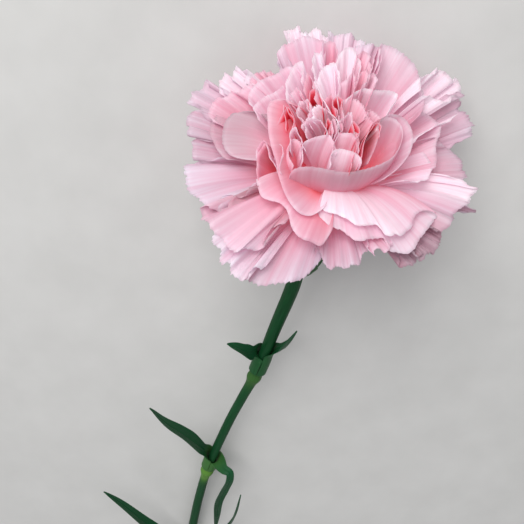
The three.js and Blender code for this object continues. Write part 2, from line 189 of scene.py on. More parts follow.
class Build:
    """Collects several closed pieces into one mesh."""

    def __init__(self):
        self.verts, self.faces, self.fields, self.count = [], [], {}, 0

    def add(self, verts, faces, **fields):
        self.verts.append(verts)
        self.faces += [[i + self.count for i in face] for face in faces]
        self.count += len(verts)
        for key, values in fields.items():
            self.fields.setdefault(key, []).append(values.reshape(len(verts), -1))

    def add_sheet(self, grid, thickness, **fields):
        """Adds a grid of points as a thin closed sheet; fields are numbers on that grid."""
        half = sheet_normal(grid) * (thickness / 2)[..., None]
        verts = np.concatenate([(grid + half).reshape(-1, 3), (grid - half).reshape(-1, 3)])
        both = {key: np.stack([values, values]) for key, values in fields.items()}
        self.add(verts, sheet_faces(*grid.shape[:2]), **both)

    def piece(self, name, material, node, slot):
        """Makes the mesh, which stands for that node of the frame."""
        fields = {key: np.concatenate(values) for key, values in self.fields.items()}
        piece = add_mesh(name, np.concatenate(self.verts), self.faces, fields, material)
        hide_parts(node)
        return piece


# ---- lines ----
def catmull(points, samples):
    """Centripetal Catmull-Rom curve through the points, evenly spaced along its length."""
    p = np.asarray(points, float)
    p = np.concatenate([[2 * p[0] - p[1]], p, [2 * p[-1] - p[-2]]])
    dense = []
    t = np.linspace(0, 1, 200, endpoint=False)[:, None]
    for p0, p1, p2, p3 in zip(p, p[1:], p[2:], p[3:]):
        d0, d1, d2 = (max(np.linalg.norm(b - a) ** 0.5, 1e-4) for a, b in
                      ((p0, p1), (p1, p2), (p2, p3)))
        m1 = ((p1 - p0) / d0 - (p2 - p0) / (d0 + d1) + (p2 - p1) / d1) * d1
        m2 = ((p2 - p1) / d1 - (p3 - p1) / (d1 + d2) + (p3 - p2) / d2) * d1
        dense.append(p1 + m1 * t + (3 * (p2 - p1) - 2 * m1 - m2) * t ** 2
                     + (2 * (p1 - p2) + m1 + m2) * t ** 3)
    dense = np.concatenate(dense + [p[-2:-1]])
    run = np.concatenate([[0], np.cumsum(np.linalg.norm(np.diff(dense, axis=0), axis=1))])
    even = np.linspace(0, run[-1], samples)
    return np.stack([np.interp(even, run, dense[:, k]) for k in range(3)], 1)


def frames(line, across):
    """Tangent, across and normal at each point of a line, turned as little as possible."""
    tangent = unit(np.gradient(line, axis=0))
    sides = []
    for t in tangent:
        across = unit(across - (across @ t) * t)
        sides.append(across)
    sides = np.array(sides)
    return tangent, sides, np.cross(sides, tangent)


# ---- petals ----
CLAW = 6.0                  # narrow foot of each petal below the mouth
CLAW_HALF_WIDTH = 1.6
PETAL_MIDDLE = 0.36         # thickness of a petal at its middle and at its margin
PETAL_EDGE = 0.12
REST_ZONE = 2.2             # petals flatten gently inside this height over the surface
REST_GAP = 0.25             # and stay this far over it
PETAL_COLUMNS = 88
PETAL_ROWS = 24
TEETH = ((9, 0.3), (17, 0.4), (29, 0.3))     # teeth across half a fan, share of their depth
TEETH_REACH = 34            # depth of the teeth where a petal's teeth are 1
RAISE_BELOW = 14            # points placed lower than this are raised,
RAISE_FADE = 9              # in full once they are this much lower,
RAISE_LOW = 5               # by this much

# Each petal is swept from its foot to a margin of points: column and row of the pixel where the
# camera sees it, and height over the calyx mouth, before low ones are raised. Its look gives the
# lean of its foot and the tilt of its margin from the flower axis, in degrees; how far each is kept
# (hold, ease); its wave, waves, frill, pleat (count, depth), belly and teeth; and how much less its
# sides lean (narrow). Its colour is coral (tone over 0) or white (under 0): the coral in places is
# painted shade between and under petals, and the white in places a painted highlight. Painted
# shade darkens it towards the margin (dusk), and it is cool (lilac), with the deep pink of
# its foot, and the painted glow that follows it, reaching further up (deep over 0) or less far
# (under 0). Several values follow each other along the margin.
PLAIN = dict(foot=3.0, hold=0.32, ease=0.32, frill=0.2, pleat=(0, 0), belly=0, narrow=0, tone=0,
    dusk=0, deep=0)
RINGS = {
    "guard": dict(lean=20, tilt=86, wave=0.6, waves=1.6, teeth=0.02, lilac=0.85),
    "second": dict(lean=16, tilt=60, wave=0.5, waves=1.6, teeth=0.01, lilac=0.3),
    "third": dict(lean=10, tilt=48, hold=0.36, ease=0.34, wave=0.4, waves=1.2, frill=0.15,
        teeth=0.006, lilac=0.1),
    "inner": dict(foot=2.4, lean=7, tilt=46, hold=0.36, ease=0.34, wave=0.4, waves=1.2, frill=0.1,
        teeth=0.01, lilac=0),
    "heart": dict(foot=1.8, lean=5, tilt=-6, hold=0.38, ease=0.34, wave=0.25, waves=1.2, frill=0.08,
        teeth=0.01, lilac=0),
    "back": dict(lean=30, tilt=104, wave=1.2, waves=2, teeth=0.03, lilac=0.85),
}
SLOT = dict(wave=0.2, tone=1.2, deep=0.9)     # deep coral seen between paler petals: their own deeper colour and painted shade of the gaps
GUARD = {
    "left_fan": (dict(lean=10, tilt=96, hold=0.42, wave=0.4, waves=2, pleat=(4, 0.9), teeth=0.035,
      tone=(0, 0, 0, 0.08), dusk=(0, 0, 0, 0.1), deep=-0.1),
    (215, 158, 3), (198, 160, 1.2), (187, 162, 1), (182, 169, 1), (183, 178, 1.6), (185, 187, 2.2),
    (190, 194, 3), (199, 201, 4), (206, 207, 5), (213, 210, 6), (219, 198, 7), (240, 197, 8),
    (250, 186, 9)),
    "bottom_round": (dict(lean=14, tilt=94, wave=0.3, belly=-0.6, teeth=0.035, tone=(0.25, 0, 0),
      dusk=(0.35, 0, 0), deep=-0.15),
    (232, 262, 2), (244, 279, 2), (253, 284, 2.5), (264, 285, 3), (275, 284, 3), (288, 284, 3),
    (300, 281, 2.5), (311, 272, 2), (320, 261, 1.5), (325, 251, 1), (325, 241, 1)),
    "bottom_fan": (dict(tilt=88, wave=0.7, waves=2.4, pleat=(4, 0.5), teeth=0.03, tone=-0.08),
    (208, 238, 5), (209, 245, 4.5), (215, 249, 4.3), (219, 252, 4.2), (220, 260, 4), (227, 267, 4),
    (230, 275, 4), (237, 280, 4), (241, 276, 4.3), (247, 282, 4), (252, 272, 5), (262, 262, 6)),
    "front_drop": (dict(lean=12, hold=0.36, wave=0.4, teeth=0.03, tone=0.05, dusk=0.15),
    (318, 250, 3), (320, 261, 3), (325, 268, 3), (331, 271, 3), (336, 267.5, 3), (341, 267, 3.5),
    (345, 268.5, 3.5), (352, 267, 3.5), (359, 267, 3), (362, 259, 3), (363, 254, 3.3), (372, 249, 4)),
    "lower_right_a": (dict(waves=2.5, dusk=0.72),
    (399, 250, 2), (400, 260, 1.5), (404, 267, 1), (414, 267, 1), (416, 261, 2), (424, 256, 3)),
    "lower_right_b": (dict(tilt=84, wave=0.8, waves=3, pleat=(3, 0.5), dusk=0.7),
    (412, 246, 4), (419, 255, 3.5), (424, 258, 3.2), (429, 254, 3), (438, 249, 3), (441, 243, 3.3),
    (441, 234, 4), (436, 229, 5), (430, 224, 6)),
    "right_pleats": (dict(lean=10, tilt=88, hold=0.42, wave=0.5, waves=2, pleat=(4, 0.9),
      tone=(0.4, 0, -0.3, -0.3), dusk=(0.35, 0.1, 0, 0), deep=-0.6),
    (433, 226, 5), (440, 229, 5), (449, 229, 5), (451, 225, 5), (455, 220, 5), (455, 214, 6),
    (463, 208, 6.6), (470, 204, 7), (467, 201, 7.6), (473, 200, 8), (474, 194, 8.6), (479, 190, 9),
    (474, 187, 9.5), (464, 182, 11), (450, 176, 12)),
    "right_spur": (dict(wave=0.3, waves=1.4, teeth=0.01, dusk=0.4),
    (452, 214, 3), (462, 211, 3), (469, 213, 3), (476, 214, 3.5), (472, 208, 5), (462, 204, 6)),
    "right_shelf": (dict(tilt=80, tone=0.1, dusk=0.25),
    (460, 182, 9), (464, 180, 9.5), (468, 175, 10), (463, 172, 11), (464, 166, 12), (460, 158, 13),
    (455, 153, 14), (448, 147, 15), (436, 140, 17)),
    "right_wing": (dict(tilt=74, wave=0.7, waves=1.8, pleat=(2.5, 0.9), teeth=0.03, tone=0.04, dusk=0.15),
    (449, 148, 13), (462, 141, 14), (474, 133, 15), (472, 130, 15.5), (475, 125, 16), (471, 120, 17),
    (470, 114, 18), (466, 109, 18.8), (461, 106, 19), (463, 101, 19.6), (457, 98, 20), (463, 94, 20.5),
    (450, 94, 21)),
    "right_top": (dict(tilt=66, pleat=(2.5, 1), teeth=0.015, tone=-0.2, deep=-0.2),
    (457, 96, 19), (459, 86, 21), (459, 80, 21.6), (456, 77, 22), (453, 81, 22), (449, 77, 22.3),
    (446, 71, 22.8), (440, 71, 23.2), (437, 67, 23.5), (430, 69, 24), (424, 75, 24), (421, 81, 24),
    (421, 92, 23)),
    "top_back": (dict(tilt=58, waves=2, tone=0.1),
    (383, 47, 23.5), (374, 44, 24), (362, 44, 24), (350, 46, 24), (346, 55, 24)),
    "top_frill": (dict(tilt=60, wave=0.8, waves=2.4, teeth=0.025, tone=-0.1),
    (367, 42, 23), (363, 38, 23), (355, 35, 23.2), (350, 32, 23.3), (342, 32, 23.5), (334, 32, 23.5),
    (329, 29, 23.5), (326, 38, 24)),
    "top_peak_right": (dict(tilt=60, wave=0.8, waves=2.2, teeth=0.03, tone=-0.2),
    (325, 40, 23.5), (324, 33, 23.8), (319, 28, 24), (315, 26, 24), (311, 30, 24), (304, 31, 24),
    (300, 38, 24)),
    "top_peak_left": (dict(tilt=62, wave=0.8, waves=2, teeth=0.025, tone=-0.2),
    (306, 38, 23.5), (303, 29, 24), (298, 24, 24), (293, 27, 24), (288, 26, 24), (286, 31, 24),
    (288, 40, 24)),
    "top_left_fleck": (dict(tilt=70, wave=0.5),
    (286, 52, 22.5), (279, 53, 22), (277, 60, 21.5), (278, 70, 21), (284, 76, 21.5)),
    "left_coral_tip": (dict(tilt=74, wave=0.5, waves=2, tone=0.42),
    (274, 76, 19.5), (270, 71, 19.5), (264, 72, 19.3), (259, 70, 19), (254, 73, 18.4), (250, 77, 18),
    (250, 86, 17.5)),
    "left_top_fan": (dict(tilt=80, waves=1.8, pleat=(3, 1.3), teeth=0.015, tone=-0.16),
    (252, 88, 16.5), (249, 80, 17.2), (247, 72, 17.5), (244, 77, 17.5), (241, 69, 17.5), (236, 68, 17),
    (232, 73, 16.6), (231, 79, 16.2), (228, 75, 16), (224, 72, 16), (222, 78, 15.6), (219, 80, 15),
    (219, 92, 14)),
    "left_high_fan": (dict(tilt=84, waves=1.8, pleat=(3, 1.1), teeth=0.018, tone=-0.03, dusk=0.1),
    (222, 96, 13.8), (217, 87, 13.6), (211, 82, 13.5), (204, 81, 13.1), (202, 86, 12.8), (195, 89, 12),
    (190, 93, 11.3), (190, 98, 10.6), (186, 102, 10), (190, 105, 9.7), (206, 113, 9)),
    "left_shelf_a": (dict(tilt=90, wave=0.5, teeth=0.012, tone=0.02, dusk=0.22),
    (206, 110, 9), (192, 111, 7.8), (187, 115, 6.8), (186, 122, 6.2), (188, 129, 5.4), (186, 134, 4.8),
    (204, 135, 4.6)),
    "left_shelf_b": (dict(tilt=92, wave=0.5, teeth=0.012, tone=0.02, dusk=0.2),
    (206, 141, 4.2), (191, 141, 3.5), (192, 147, 2.8), (191, 153, 2.2), (193, 159.5, 1.6), (208, 161, 1)),
    "front_curl": (dict(tilt=70, waves=1.4, teeth=0.015, tone=0.2),
    (366, 238, 6), (371, 247, 5.2), (375, 257, 4.8), (377, 252, 5.4), (384, 255, 5.4), (391, 251, 6),
    (391, 240, 6.5)),
}
SECOND = {
    "top_round": (dict(tilt=40, hold=0.36, ease=0.35, wave=0.45, belly=-2, teeth=0.022, tone=(0.1, -0.12),
      dusk=(0.2, 0), deep=0.15),
    (421, 112, 21), (424, 98, 22), (421, 80, 23.5), (417, 66, 24.5), (408, 56, 25.5), (396, 47, 26),
    (386, 43, 26.5), (380, 46, 27), (377, 60, 27)),
    "top_left_round": (dict(tilt=56, hold=0.3, teeth=0.018, tone=-0.02),
    (322, 50, 25.5), (319, 38, 25.5), (312, 35, 25.5), (304, 35, 25.2), (296, 38, 25), (289, 42, 24.5),
    (282, 44, 24), (279, 48, 23.8), (279, 56, 23.5)),
    "left_pleats": (dict(lean=8, tilt=92, hold=0.46, wave=0.35, waves=2, pleat=(5, 1.6), teeth=0.03,
      tone=(0.8, 0.1, -0.1, 0, 0.4), dusk=(0.7, 0.1, 0, 0, 0.3)),
    (250, 189, 9.8), (240, 197, 9.2), (225, 204, 8.4), (213, 210, 7.4), (201, 215, 6.5), (205, 224, 6.2),
    (207, 231, 6), (212, 236, 6), (219, 237, 6.1), (225, 244, 6.2), (230, 254, 6.5), (236, 258, 6.8),
    (246, 251, 7.5), (254, 245, 8.2), (258, 240, 8.5), (268, 234, 9.4), (278, 222, 10.4)),
    "left_wide": (dict(tilt=62, waves=1.3, tone=-0.03),
    (247, 104, 17.6), (249, 92, 18.6), (254, 84, 19.6), (263, 78, 21), (276, 73, 22), (286, 66, 23),
    (296, 66, 24)),
    "left_mid_fan": (dict(tilt=76, pleat=(2, 0.6), teeth=0.012, tone=0.16),
    (214, 124, 12), (209, 112, 12.5), (212, 102, 13.6), (219, 96.5, 14.6), (227, 95, 15.4), (231, 90, 16),
    (237, 92, 16.8), (243, 87, 17.6), (249, 84, 18.4), (256, 86, 19)),
    "left_lower_mid": (dict(tilt=84, wave=0.4, waves=1.3, tone=0.15, dusk=0.35),
    (240, 158, 8), (222, 155, 8), (211, 142, 8.5), (209, 126, 10), (216, 114, 12)),
    "front_bright": (dict(lean=3, tilt=92, hold=0.6, ease=0.36, wave=0.25, teeth=0.008,
      tone=(-0.35, -0.4, -0.35, 0, 0.28), deep=-1.2),
    (320, 207, 12), (328, 211, 12), (337, 213, 12), (346, 218, 12), (354, 225, 11.6), (360, 226.5, 11.4),
    (368, 226, 11), (376, 225, 10.6), (380, 229, 10.4), (385, 235, 10), (391, 236, 9.8), (396, 234, 9.6),
    (401, 236, 9.2), (407, 231, 8.8), (412, 227, 8.6), (414, 219, 8.9), (418, 214, 9), (427, 212, 9),
    (436, 214, 9)),
    "front_under": (dict(lean=6, tilt=92, hold=0.5, wave=0.4, waves=1.8, teeth=0.014, tone=-0.08,
      deep=-0.1),
    (316, 211, 10), (321, 219, 9.6), (328, 225, 9.3), (336, 228, 9), (344, 230.5, 8.6), (349, 236, 8.3),
    (353, 241, 8), (360, 243, 7.7), (368, 241, 7.3), (376, 239, 6.8), (384, 239, 6.4), (389, 245, 6),
    (391, 251, 5.6), (400, 251, 5.3), (410, 251.5, 5), (416, 247, 5), (420, 240, 5), (427, 231, 5.6),
    (438, 216, 7)),
    # a petal lying in shade, with painted shade on its margin
    "right_dusky": (dict(tilt=56, wave=0.6, waves=1.3, teeth=0.015, tone=0.08, dusk=0.1),
    (436, 166, 15), (437, 156, 16), (437, 146, 16.8), (440, 136, 17.4), (441, 124, 18), (432, 116, 19),
    (420, 110, 20)),
    "right_fold": (dict(wave=0.3, waves=1.2, teeth=0.008, tone=-0.2),
    (458, 114, 19), (446, 120, 18.6), (433, 127, 18.2), (422, 134, 17.8), (414, 140, 17.4)),
    "right_high": (dict(waves=1.5, tone=-0.2, deep=-0.3),
    (461, 97, 20.5), (453, 98, 21), (446, 101, 21.3), (437, 98, 21.7), (430, 95, 22), (422, 94, 22.5)),
    "right_broad": (dict(wave=0.4, waves=1.4, tone=-0.12, deep=-0.4),
    (404, 184, 13.6), (422, 181, 13.4), (430, 176, 13), (434, 168, 13.4), (430, 160, 14.5),
    (424, 152, 16)),
}
THIRD = {
    "left_round": (dict(lean=6, tilt=100, hold=0.5, wave=0.22, pleat=(2, 0.25), teeth=0.012, tone=-0.1,
      dusk=(0.22, 0.7)),
    (262, 161, 12), (242, 158, 11), (229, 154, 10.2), (222, 145, 10.3), (222, 132, 11.4), (226, 121, 12.8),
    (234, 113, 14.3), (244, 109.5, 15.8), (254, 111, 16.8), (262, 116, 17.5), (268, 122, 17.8)),
    "ribbon_under": (dict(lean=6, tilt=96, hold=0.42, wave=0.3, waves=1.3, tone=(-0.15, 0.1, 0.1, 0.25),
      dusk=(0, 0, 0, 0.2), deep=0.5),
    (256, 178, 14), (258, 186, 13.7), (262, 195, 13.3), (270, 200, 13), (279, 203, 12.7), (285, 209, 12.2),
    (288, 217, 11.8), (291, 228, 11.1), (296, 236, 10.6), (303, 240, 10.2), (312, 242, 9.8),
    (321, 245, 9.2), (331, 231, 9)),
    "ribbon": (dict(lean=6, tilt=76, hold=0.5, wave=0.15, waves=1.1, teeth=0.004,
      tone=(0.3, 0.3, 0.4, 0.4, 0, -0.3), deep=0.5),
    (289, 103, 22.9), (285, 99.5, 22.9), (277, 99, 22.6), (270, 101.5, 22.2), (267, 109, 22),
    (267, 120, 21.7), (268, 133, 21.2), (271, 148, 20.2), (276, 162, 19), (279, 176, 17.6),
    (284, 191, 16.2), (291, 203, 15.2), (299, 211, 14.6), (308, 213.5, 14.1), (317, 210, 13.7),
    (324, 204, 13.4)),
    "right_cup": (dict(lean=14, tilt=30, hold=0.45, wave=0.15, waves=1.1, belly=-1,
      tone=(0, 0, 0, 0, 0.9, 1.2), dusk=0.22, deep=0.25),
    (384, 178, 14.6), (396, 169, 15.8), (404, 160, 16.8), (410, 150, 17.8), (413, 136, 19.5),
    (410, 125, 20.4), (403, 117, 21.2), (394, 114, 21.8), (386, 116, 22), (380, 121, 22), (378, 134, 21),
    (373, 149, 19.8), (367, 162, 18.6)),
    # a petal lying in shade, lifted by painted glow and a whiter tone
    "top_dusky": (dict(lean=12, tilt=14, ease=0.4, wave=0.25, belly=1, teeth=0.01, tone=-0.2, deep=0.45),
    (388, 112, 22.4), (394, 101, 22.9), (397, 93, 23.3), (390, 90, 23.9), (378, 90, 24.3), (364, 88, 24.4),
    (353, 91, 24.3), (346, 97, 24)),
    "top_white_a": (dict(tilt=56, waves=1.4, frill=0.35, belly=-0.6, teeth=0.014, tone=-0.3, deep=-0.4),
    (335, 78, 24.6), (336, 64, 25.1), (338, 53, 25.6), (343, 48, 25.8), (350, 47, 25.8), (356, 51, 25.6),
    (359, 60, 25.4), (361, 70, 25.3)),
    "top_pink_a": (dict(tilt=46, waves=1.3, frill=0.35, teeth=0.014, tone=0.2),
    (352, 64, 25.5), (357, 54, 25.8), (364, 50, 26), (370, 55, 26), (372, 68, 26)),
    "top_sliver": (dict(tilt=46, wave=0.2, frill=0.35, tone=0.1),
    (370, 76, 25.9), (372, 62, 26.2), (377, 50, 26.4), (380, 46, 26.5), (380, 56, 26.4), (378, 70, 26.1)),
    "top_white_b": (dict(tilt=58, waves=1.4, frill=0.35, teeth=0.035, tone=-0.2),
    (311, 84, 24.2), (310, 68, 24.7), (312, 55, 25), (317, 49, 25.2), (320, 54, 25.1), (321, 68, 24.9)),
    "top_white_c": (dict(waves=1.4, frill=0.35, belly=-0.6, teeth=0.014, tone=-0.15),
    (284, 100, 22.7), (285, 86, 23.2), (289, 73, 23.8), (295, 63, 24.5), (300, 60, 24.8), (303, 65, 24.8),
    (302, 80, 24.5)),
    "left_wall_b": (dict(lean=12, wave=0.5, waves=1.3, teeth=0.01, tone=-0.03),
    (257, 118, 18.5), (256, 106, 19.8), (262, 97, 21), (272, 92, 22), (284, 84, 23)),
    "top_pink_b": (dict(tilt=50, wave=0.3, teeth=0.008, tone=0.16, deep=0.15),
    (338, 66, 25), (337, 48, 25.2), (331, 40, 25), (326, 43, 25), (324, 60, 24.8)),
    "left_leaf": (dict(tilt=40, wave=0.3, tone=0.1),
    (259, 158, 16.6), (259, 147, 17.6), (263, 141, 18.2), (268, 148, 18.4), (273, 160, 17.9),
    (277, 172, 17.2)),
    "slot_far_left": (dict(tilt=44, wave=0.2, tone=0.55, deep=0.35),
    (257, 182, 12.6), (256, 170, 15), (258, 152, 17), (264, 141, 18), (270, 152, 18.2)),
}
INNER = {
    "front_cup": (dict(lean=12, tilt=-12, hold=0.44, wave=0.12, waves=1.1, tone=(0.1, 0.05),
      dusk=(0.1, 0.42, 0.14, 0.1, 0), deep=0.2),
    (292, 174, 17.6), (293.5, 170.5, 18.4), (297, 168.2, 18.8), (304, 166.6, 19), (314, 166.4, 18.9),
    (326, 168.3, 18.6), (338, 170.4, 18.3), (348, 171.4, 18.1), (359, 169.6, 17.9), (370, 166.3, 17.7),
    (382, 161.6, 17.5), (391, 156, 17.7), (398, 148, 18.3), (402, 138, 19.3), (402, 128, 20.2),
    (397, 120, 21), (389, 116.5, 21.7), (381, 118, 22)),
    "curl_white": (dict(tilt=52, waves=1.4, frill=0.35, belly=-0.8, teeth=0.014, tone=-0.4, deep=-0.3),
    (323, 107, 23.4), (318, 96, 23.8), (316, 84, 24.2), (320, 72, 24.8), (327, 64, 25.2), (334, 61, 25.4),
    (338, 67, 25.3), (337, 80, 24.9)),
    "fold_a": (dict(frill=0.35, tone=0.12),
    (337, 100, 24.3), (341, 86, 24.8), (348, 74, 25.3), (353, 67, 25.6), (356, 76, 25.4)),
    "fold_b": (dict(frill=0.35, tone=0.3),
    (350, 92, 24.6), (356, 80, 25), (362, 72, 25.4), (368, 68, 25.7), (370, 78, 25.5)),
    "fold_c": (dict(tilt=40, frill=0.35, teeth=0.035, tone=0.1),
    (378, 88, 25), (379, 78, 25.5), (374, 70, 25.8), (367, 76, 25.6), (362, 86, 25.2)),
    "fold_d": (dict(tilt=48, wave=0.3, tone=0.35),
    (313, 98, 23.8), (312, 84, 24.4), (308, 71, 24.9), (304, 74, 24.7), (303, 90, 23.8)),
    "fold_e": (dict(tilt=50, teeth=0.035, tone=0.05),
    (303, 108, 22.5), (301, 94, 23.4), (297, 84, 23.9), (292, 88, 23.5), (288, 104, 22.5)),
    "fold_f": (dict(tilt=22, tone=0.6),
    (336, 112, 23.5), (335, 100, 24.1), (331, 92, 24.5), (327, 98, 24.1), (325, 110, 23.4)),
    "wing_left": (dict(tilt=30, wave=0.5, tone=0.6, deep=0.9),
    (296, 132, 20.6), (290, 116, 22), (284, 103, 22.9), (279, 108, 22.5), (277, 124, 21.2)),
    "slot_a": (dict(SLOT, tilt=26),
    (298, 129, 20.9), (294, 115, 22), (288, 106, 22.6), (285, 113, 22.3), (286, 129, 21)),
    "slot_b": (dict(SLOT, tilt=26),
    (321, 108, 23.1), (319, 97, 23.8), (315, 88, 24.2), (311, 90, 24), (309, 106, 23.1)),
    "slot_c": (dict(SLOT, tilt=10),
    (343, 108, 23.6), (343, 98, 24.1), (338, 95, 24.3), (333, 99, 24), (334, 112, 23.3)),
    "slot_d": (dict(SLOT, tilt=6),
    (332, 132, 21.8), (331, 121, 22.5), (328, 117, 22.8), (326, 123, 22.3), (326, 133, 21.7)),
    "frill_a": (dict(tilt=44, wave=0.7, waves=1.3, teeth=0.035, tone=-0.08, deep=0.2),
    (310, 126, 21.4), (308, 110, 22.6), (302, 100, 23.1), (297, 110, 22.5), (297, 126, 21.1)),
    "frill_b": (dict(tilt=48, wave=0.5, waves=1.4, teeth=0.035, tone=-0.5, deep=0.1),
    (333, 126, 22), (331, 114, 22.9), (325, 106, 23.4), (317, 102, 23.6), (312, 107, 23.2),
    (311, 120, 21.9)),
    "frill_c": (dict(tilt=34, waves=1.3, teeth=0.035, tone=0.2, deep=-0.1),
    (376, 122, 22.6), (369, 112, 23.2), (364, 103, 23.8), (358, 97, 24.2), (351, 96, 24.3), (345, 101, 24),
    (343, 113, 23.2)),
    "frill_d": (dict(tilt=26, wave=0.6, waves=1.4, teeth=0.035, tone=0.25),
    (382, 128, 21.5), (380, 114, 23), (371, 111, 23.3), (364, 118, 22.8)),
    "wing_right": (dict(tilt=6, wave=0.2, waves=1.1, teeth=0.008, tone=1.2, deep=0.7),
    (356, 167, 19), (362, 157, 20), (366, 143, 21.2), (371, 129, 22.2), (376, 119, 22.7),
    (381, 117, 22.6)),
    "left_inner_b": (dict(tilt=40, wave=0.3, teeth=0.008, tone=0.1),
    (283, 172, 18.5), (281, 158, 19.2), (281, 146, 19.9), (277, 144, 20), (275, 158, 19)),
    "frill_e": (dict(tilt=6, wave=0.5, waves=1.3, teeth=0.035, tone=0.3),
    (342, 132, 21.9), (341, 118, 22.9), (337, 108, 23.4), (333, 112, 23), (333, 128, 21.9)),
    "frill_f": (dict(tilt=30, tone=-0.02, deep=0.3),
    (303, 150, 20.5), (301, 134, 21.6), (296, 126, 22), (290, 134, 21.3), (289, 150, 20)),
    "frill_g": (dict(wave=0.5, waves=1.4, teeth=0.035, tone=-0.06, deep=0.25),
    (322, 134, 21.9), (321, 122, 22.7), (314, 116, 22.9), (307, 120, 22.5), (305, 136, 21.4)),
    "slot_right": (dict(lean=10, tilt=10, wave=0.3, tone=1.2, deep=0.9),
    (355, 168, 18.6), (360, 150, 20.2), (366, 134, 21.5), (374, 123, 22.3), (380, 123, 22.2),
    (380, 136, 21.2)),
}
HEART = {
    "slot_e": (dict(SLOT, tilt=0),
    (359, 142, 21.8), (358, 128, 22.6), (354, 121, 22.9), (352, 130, 22.4)),
    "heart_left": (dict(lean=24, tilt=-27, hold=0.46, narrow=0.8, tone=-0.05, deep=0.12),
    (301, 159, 19.5), (301, 150, 20.2), (305, 142, 20.8), (312, 137.5, 21.2), (321, 135, 21.5),
    (330, 133.5, 21.6), (334, 140, 21.3), (335, 152, 20.6)),
    "heart_edge": (dict(lean=22, tilt=-20, hold=0.46, narrow=0.8, tone=0.3),
    (293, 165, 18.8), (290, 155, 19.5), (291, 144, 20.3), (296, 139, 20.8), (301, 144, 20.6),
    (302, 156, 19.8)),
    "heart_spire": (dict(teeth=0.035, tone=-0.1),
    (339, 136, 21.9), (340, 124, 22.6), (343, 119, 22.9), (348, 114, 23.2), (351, 110, 23.5),
    (354, 117, 23.2), (355, 132, 22.3)),
    "heart_thin": (dict(wave=0.3, tone=0.2),
    (333, 136, 21.7), (332, 126, 22.4), (334, 118, 22.9), (337, 124, 22.6), (338, 136, 21.8)),
    "heart_cup": (dict(lean=22, tilt=-28, hold=0.46, narrow=0.8, tone=0.2),
    (334, 152, 20.9), (334, 140, 21.7), (339, 132.5, 22.2), (346, 131, 22.4), (353, 132, 22.4),
    (357, 138, 22), (359, 150, 21.2)),
    "heart_front": (dict(lean=20, tilt=-30, hold=0.48, wave=0.15, narrow=0.9, tone=-0.06, deep=-0.1),
    (331, 163, 19.7), (331, 155, 20.5), (334, 149.5, 21), (341, 147.5, 21.2), (348, 149, 21.2),
    (354, 151, 21.1), (359, 156, 20.8), (360, 162, 20.2)),
    "heart_right": (dict(tilt=-10, wave=0.3, tone=1.2, deep=0.6),
    (353, 164, 20), (356, 150, 21.2), (358, 139, 22.1), (357, 131, 22.6), (354, 138, 22.3)),
}
CORE_LOOK = dict(lean=4, tilt=10, wave=0.2, waves=1.4, tone=0.9)
CORE = ((330.3, 46, 2.2, 18.6), (149.8, 46, 2.6, 18.2), (60.6, 47.7, 1.2, 19.4))
BACK_COUNT = 9
BACK_SHORTER = 9            # than the guard petals over them
BACK_LOWER = 6
BACK_SPREAD = math.radians(16)


def drawn(ring):
    """Look and margin, to a tenth of a mm and degree, of each petal of a ring."""
    petals = []
    for look, *points in ring.values():
        column, row, height = np.array(points, float).T
        raised = RAISE_LOW * np.clip((RAISE_BELOW - height) / RAISE_FADE, 0, 1)
        radius, turn, height = round_axis(seen_at(column, row, height + raised))
        radius, turn, height = np.round([radius, np.degrees(turn), height], 1)
        petals.append((look, on_axis(radius, np.radians(turn), height)))
    return petals


def core_petals():
    """Three small coiled petals at the bottom of the heart."""
    k = np.arange(6)
    rise = np.array([0, 0.5, -0.5])[k % 3]
    return [(CORE_LOOK, on_axis(radius, np.radians(start + step * k), height + rise))
            for start, step, radius, height in CORE]


def back_petals(guard):
    """Shorter petals under the outermost ones, following their height round the bloom."""
    outer_radius, outer_turn, outer_height = round_axis(np.concatenate([m for _, m in guard]))
    step = np.linspace(-1, 1, 7)
    petals = []
    for k in range(BACK_COUNT):
        turn = np.radians(40 * k + 10 * (chance(k, 50) - 0.5) + 25 * step)
        away = (outer_turn - turn[:, None] + math.pi) % FULL_TURN - math.pi
        near = np.exp(-(away / BACK_SPREAD) ** 2)
        near /= near.sum(1, keepdims=True)
        uneven = np.array([chance(7 * k + i, 51) - 0.5 for i in range(len(step))])
        radius = near @ outer_radius - BACK_SHORTER + 1.6 * uneven - 3 * step ** 2
        petals.append(({}, on_axis(radius, turn, near @ outer_height - BACK_LOWER)))
    return petals


def over(values, along):
    """One value, or evenly spaced values followed along the margin."""
    values = np.atleast_1d(values)
    return np.interp(along, np.linspace(0, 1, len(values)), values)


def ruffles(look, seed, U, V):
    """How far the waves, frill, folds, belly and pleats lift each point of a petal."""
    phase = chance(seed, 1) * FULL_TURN
    ruffle = U + 0.1 * np.sin(2.6 * U + phase * 2 + 1.5 * V) + 0.12 * (V - 0.6) * math.cos(phase * 3)
    turn = look["waves"] * math.pi * ruffle
    lift = look["wave"] * (V ** 1.5 * np.sin(turn + phase)
                           + 0.5 * V ** 2 * np.sin(2.2 * turn + phase * 1.7 + 1.5 * V)
                           + look["frill"] * V ** 4 * np.sin(4.7 * turn + phase * 2.9))
    lift += 0.5 * V * (1 - V * 0.5) * np.sin(1.3 * U + 4.4 * V + chance(seed, 40) * 6.28)
    lift -= look["belly"] * 4 * V * (1 - V) * (1 - U ** 2)
    count, depth = look["pleat"]
    fold = 0.64 * np.arcsin(0.93 * np.sin(count * math.pi * ruffle + phase * 5))
    return lift + depth * V ** 1.2 * fold


